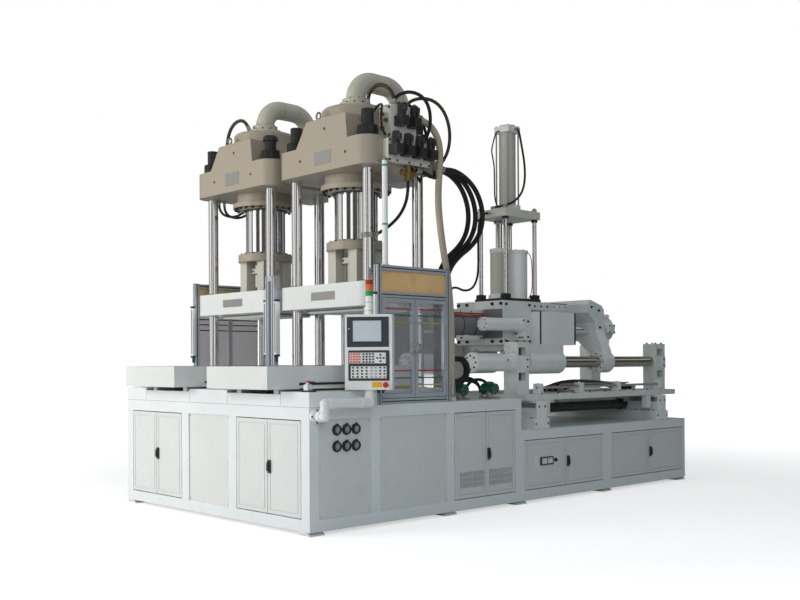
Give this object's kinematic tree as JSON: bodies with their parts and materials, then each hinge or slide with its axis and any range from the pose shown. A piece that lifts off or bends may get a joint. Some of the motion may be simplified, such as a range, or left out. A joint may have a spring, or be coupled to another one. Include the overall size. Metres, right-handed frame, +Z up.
{
  "type": "vertical injection moulding machine",
  "caption": "Vertical rubber injection moulding machine: four-column presses on a long cabinet base, with a horizontal injection unit that shifts sideways behind them.",
  "frame": {"origin": "middle of the machine footprint on the floor, under the centre of its bounding box", "axes": "+X across the front to the operator side with the control panel, +Y from the front doors to the rear of the injection unit, +Z up"},
  "size_m": [2.7628, 4.905, 3.494],
  "materials": {
    "paint": "semi-gloss warm off-white machine paint",
    "white_paint": "smooth white paint",
    "chrome": "ground and hard-chromed",
    "black": "black oxide",
    "casting": "painted casting",
    "pale_paint": "pale grey paint",
    "barrel_cover": "dark sheet cover",
    "profile": "anodised extruded profile",
    "masked": "sheet still under brown masking paper",
    "clear": "clear acrylic sheet",
    "lens": "tinted lens",
    "hose": "rubber-covered pressure hose",
    "return_hose": "beige sleeved return hose"
  },
  "bodies": {
    "machine": {"base_frame": "paint", "rear_frame": "paint", "bay_panels": "paint", "feet": "paint", "bed": "paint", "press_columns": "chrome", "crossheads": "paint", "main_cylinders": "paint", "oil_pipes": "white_paint", "column_nuts": "black", "valve_block": "casting", "valves": "black", "guard_frames": "profile", "masked_sheets": "masked", "guard_sheets": "clear", "centre_stand": "profile", "light_curtains": "white_paint", "panel_arm": "white_paint", "cross_rails": "casting", "hose_inner": "hose", "hose_middle": "hose", "hose_outer": "hose", "return_hose": "return_hose"},
    "front_left_leaf_a": {"front_left_door_a": "paint"},
    "front_left_leaf_b": {"front_left_door_b": "paint"},
    "front_right_leaf_a": {"front_right_door_a": "paint"},
    "front_right_leaf_b": {"front_right_door_b": "paint"},
    "vent_leaf_a": {"vent_door_a": "paint"},
    "vent_leaf_b": {"vent_door_b": "paint"},
    "rear_leaf_a": {"rear_door_a": "paint"},
    "rear_leaf_b": {"rear_door_b": "paint"},
    "rear_leaf_c": {"rear_door_c": "paint"},
    "rear_leaf_d": {"rear_door_d": "paint"},
    "table_left_slide": {"table_left": "paint"},
    "table_right_slide": {"table_right": "paint"},
    "press_left": {"platen_left": "paint", "spacer_left": "paint", "ram_left": "chrome"},
    "press_right": {"platen_right": "paint", "spacer_right": "paint", "ram_right": "chrome"},
    "gate_a": {"gate_leaf_a": "profile", "gate_sheet_a": "clear"},
    "gate_b": {"gate_leaf_b": "profile", "gate_sheet_b": "clear"},
    "panel": {"control_panel": "white_paint", "signal_lenses": "lens"},
    "unit_carriage": {"carriage": "casting", "guide_bars": "chrome"},
    "unit_seat": {"seat_housing": "casting", "injection_cylinders": "pale_paint", "barrel": "barrel_cover", "feed_block": "casting", "pull_cylinders": "pale_paint", "stuffer_frame": "casting", "stuffer_cylinder": "pale_paint", "feed_chambers": "casting"},
    "unit_drive": {"drive_crosshead": "casting", "screw_motor": "casting"}
  },
  "joints": [
    {"name": "front_left_hinge_a", "type": "hinge", "parent": "machine", "child": "front_left_leaf_a", "pos_m": [-1.28339, -2.2975, 0.447], "axis": [0, 0, -1], "range_deg": [0, 90]},
    {"name": "front_left_hinge_b", "type": "hinge", "parent": "machine", "child": "front_left_leaf_b", "pos_m": [-0.51539, -2.2975, 0.447], "axis": [0, 0, 1], "range_deg": [0, 90]},
    {"name": "front_right_hinge_a", "type": "hinge", "parent": "machine", "child": "front_right_leaf_a", "pos_m": [0.25261, -2.2975, 0.447], "axis": [0, 0, -1], "range_deg": [0, 90]},
    {"name": "front_right_hinge_b", "type": "hinge", "parent": "machine", "child": "front_right_leaf_b", "pos_m": [1.02061, -2.2975, 0.447], "axis": [0, 0, 1], "range_deg": [0, 90]},
    {"name": "vent_hinge_a", "type": "hinge", "parent": "machine", "child": "vent_leaf_a", "pos_m": [1.11861, -0.8715, 0.447], "axis": [0, 0, -1], "range_deg": [0, 90]},
    {"name": "vent_hinge_b", "type": "hinge", "parent": "machine", "child": "vent_leaf_b", "pos_m": [1.11861, -0.1575, 0.447], "axis": [0, 0, 1], "range_deg": [0, 90]},
    {"name": "rear_hinge_a", "type": "hinge", "parent": "machine", "child": "rear_leaf_a", "pos_m": [1.11861, -0.0265, 0.317], "axis": [0, 0, -1], "range_deg": [0, 90]},
    {"name": "rear_hinge_b", "type": "hinge", "parent": "machine", "child": "rear_leaf_b", "pos_m": [1.11861, 1.0615, 0.317], "axis": [0, 0, 1], "range_deg": [0, 90]},
    {"name": "rear_hinge_c", "type": "hinge", "parent": "machine", "child": "rear_leaf_c", "pos_m": [1.11861, 1.2055, 0.317], "axis": [0, 0, -1], "range_deg": [0, 90]},
    {"name": "rear_hinge_d", "type": "hinge", "parent": "machine", "child": "rear_leaf_d", "pos_m": [1.11861, 2.3965, 0.317], "axis": [0, 0, 1], "range_deg": [0, 90]},
    {"name": "gate_hinge_a", "type": "hinge", "parent": "machine", "child": "gate_a", "pos_m": [1.10361, -1.6115, 1.265], "axis": [0, 0, -1], "range_deg": [0, 90]},
    {"name": "gate_hinge_b", "type": "hinge", "parent": "machine", "child": "gate_b", "pos_m": [1.10361, -0.9485, 1.265], "axis": [0, 0, 1], "range_deg": [0, 90]},
    {"name": "table_left_travel", "type": "slide", "parent": "machine", "child": "table_left_slide", "axis": [0, -1, 0], "range_m": [0, 0.5]},
    {"name": "table_right_travel", "type": "slide", "parent": "machine", "child": "table_right_slide", "axis": [0, -1, 0], "range_m": [0, 0.5]},
    {"name": "press_left_stroke", "type": "slide", "parent": "machine", "child": "press_left", "axis": [0, 0, -1], "range_m": [-0.2, 0.35]},
    {"name": "press_right_stroke", "type": "slide", "parent": "machine", "child": "press_right", "axis": [0, 0, -1], "range_m": [-0.2, 0.35]},
    {"name": "panel_swivel", "type": "hinge", "parent": "machine", "child": "panel", "pos_m": [1.21861, -1.8375, 0.99], "axis": [0, 0, 1], "range_deg": [-40, 40]},
    {"name": "unit_traverse", "type": "slide", "parent": "machine", "child": "unit_carriage", "axis": [-1, 0, 0], "range_m": [0, 1.212]},
    {"name": "seat_retract", "type": "slide", "parent": "unit_carriage", "child": "unit_seat", "axis": [0, 1, 0], "range_m": [0, 0.15]},
    {"name": "drive_stroke", "type": "slide", "parent": "unit_seat", "child": "unit_drive", "axis": [0, -1, 0], "range_m": [0, 0.18]}
  ]
}
